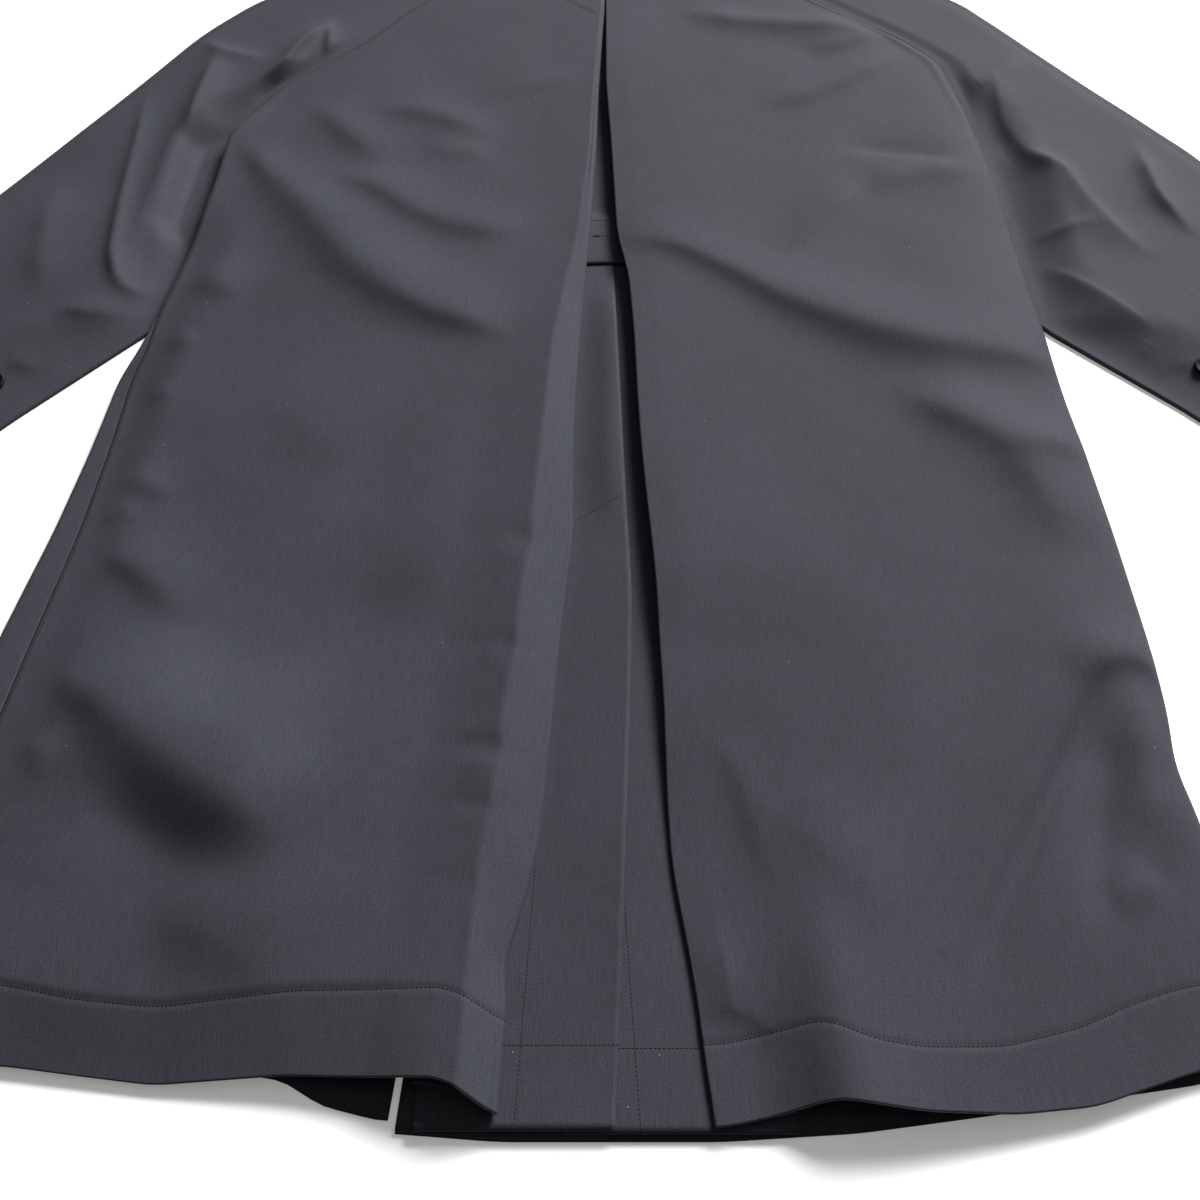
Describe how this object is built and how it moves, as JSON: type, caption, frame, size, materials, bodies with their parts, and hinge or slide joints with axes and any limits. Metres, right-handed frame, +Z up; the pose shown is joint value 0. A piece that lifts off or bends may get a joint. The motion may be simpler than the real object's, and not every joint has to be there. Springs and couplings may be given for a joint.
{
  "type": "raglan coat",
  "caption": "Fine wool raglan coat laid flat face down, with an inverted back pleat opening over a vented underlay, angled sleeves and a folded collar.",
  "frame": {"origin": "centre of the laid coat's outline, on the surface that it lies on", "axes": "+X to the right seen from the hem, +Y from hem to collar, +Z up out of the coat's back"},
  "size_m": [1.1736, 1.1688, 0.0242],
  "materials": {
    "wool": "charcoal worsted wool in a fine plain weave with faint warp streaks",
    "button_resin": "near-black polished resin"
  },
  "bodies": {
    "root": {"front_left": "wool", "front_right": "wool", "facing_right": "wool", "back_left": "wool", "back_right": "wool", "vent_flap_left": "wool", "vent_flap_right": "wool", "pleat_underlay": "wool", "sleeve_back_left": "wool", "sleeve_back_right": "wool", "sleeve_front_left": "wool", "sleeve_front_right": "wool", "collar": "wool", "sleeve_button_left": "button_resin", "sleeve_button_right": "button_resin"}
  },
  "joints": []
}
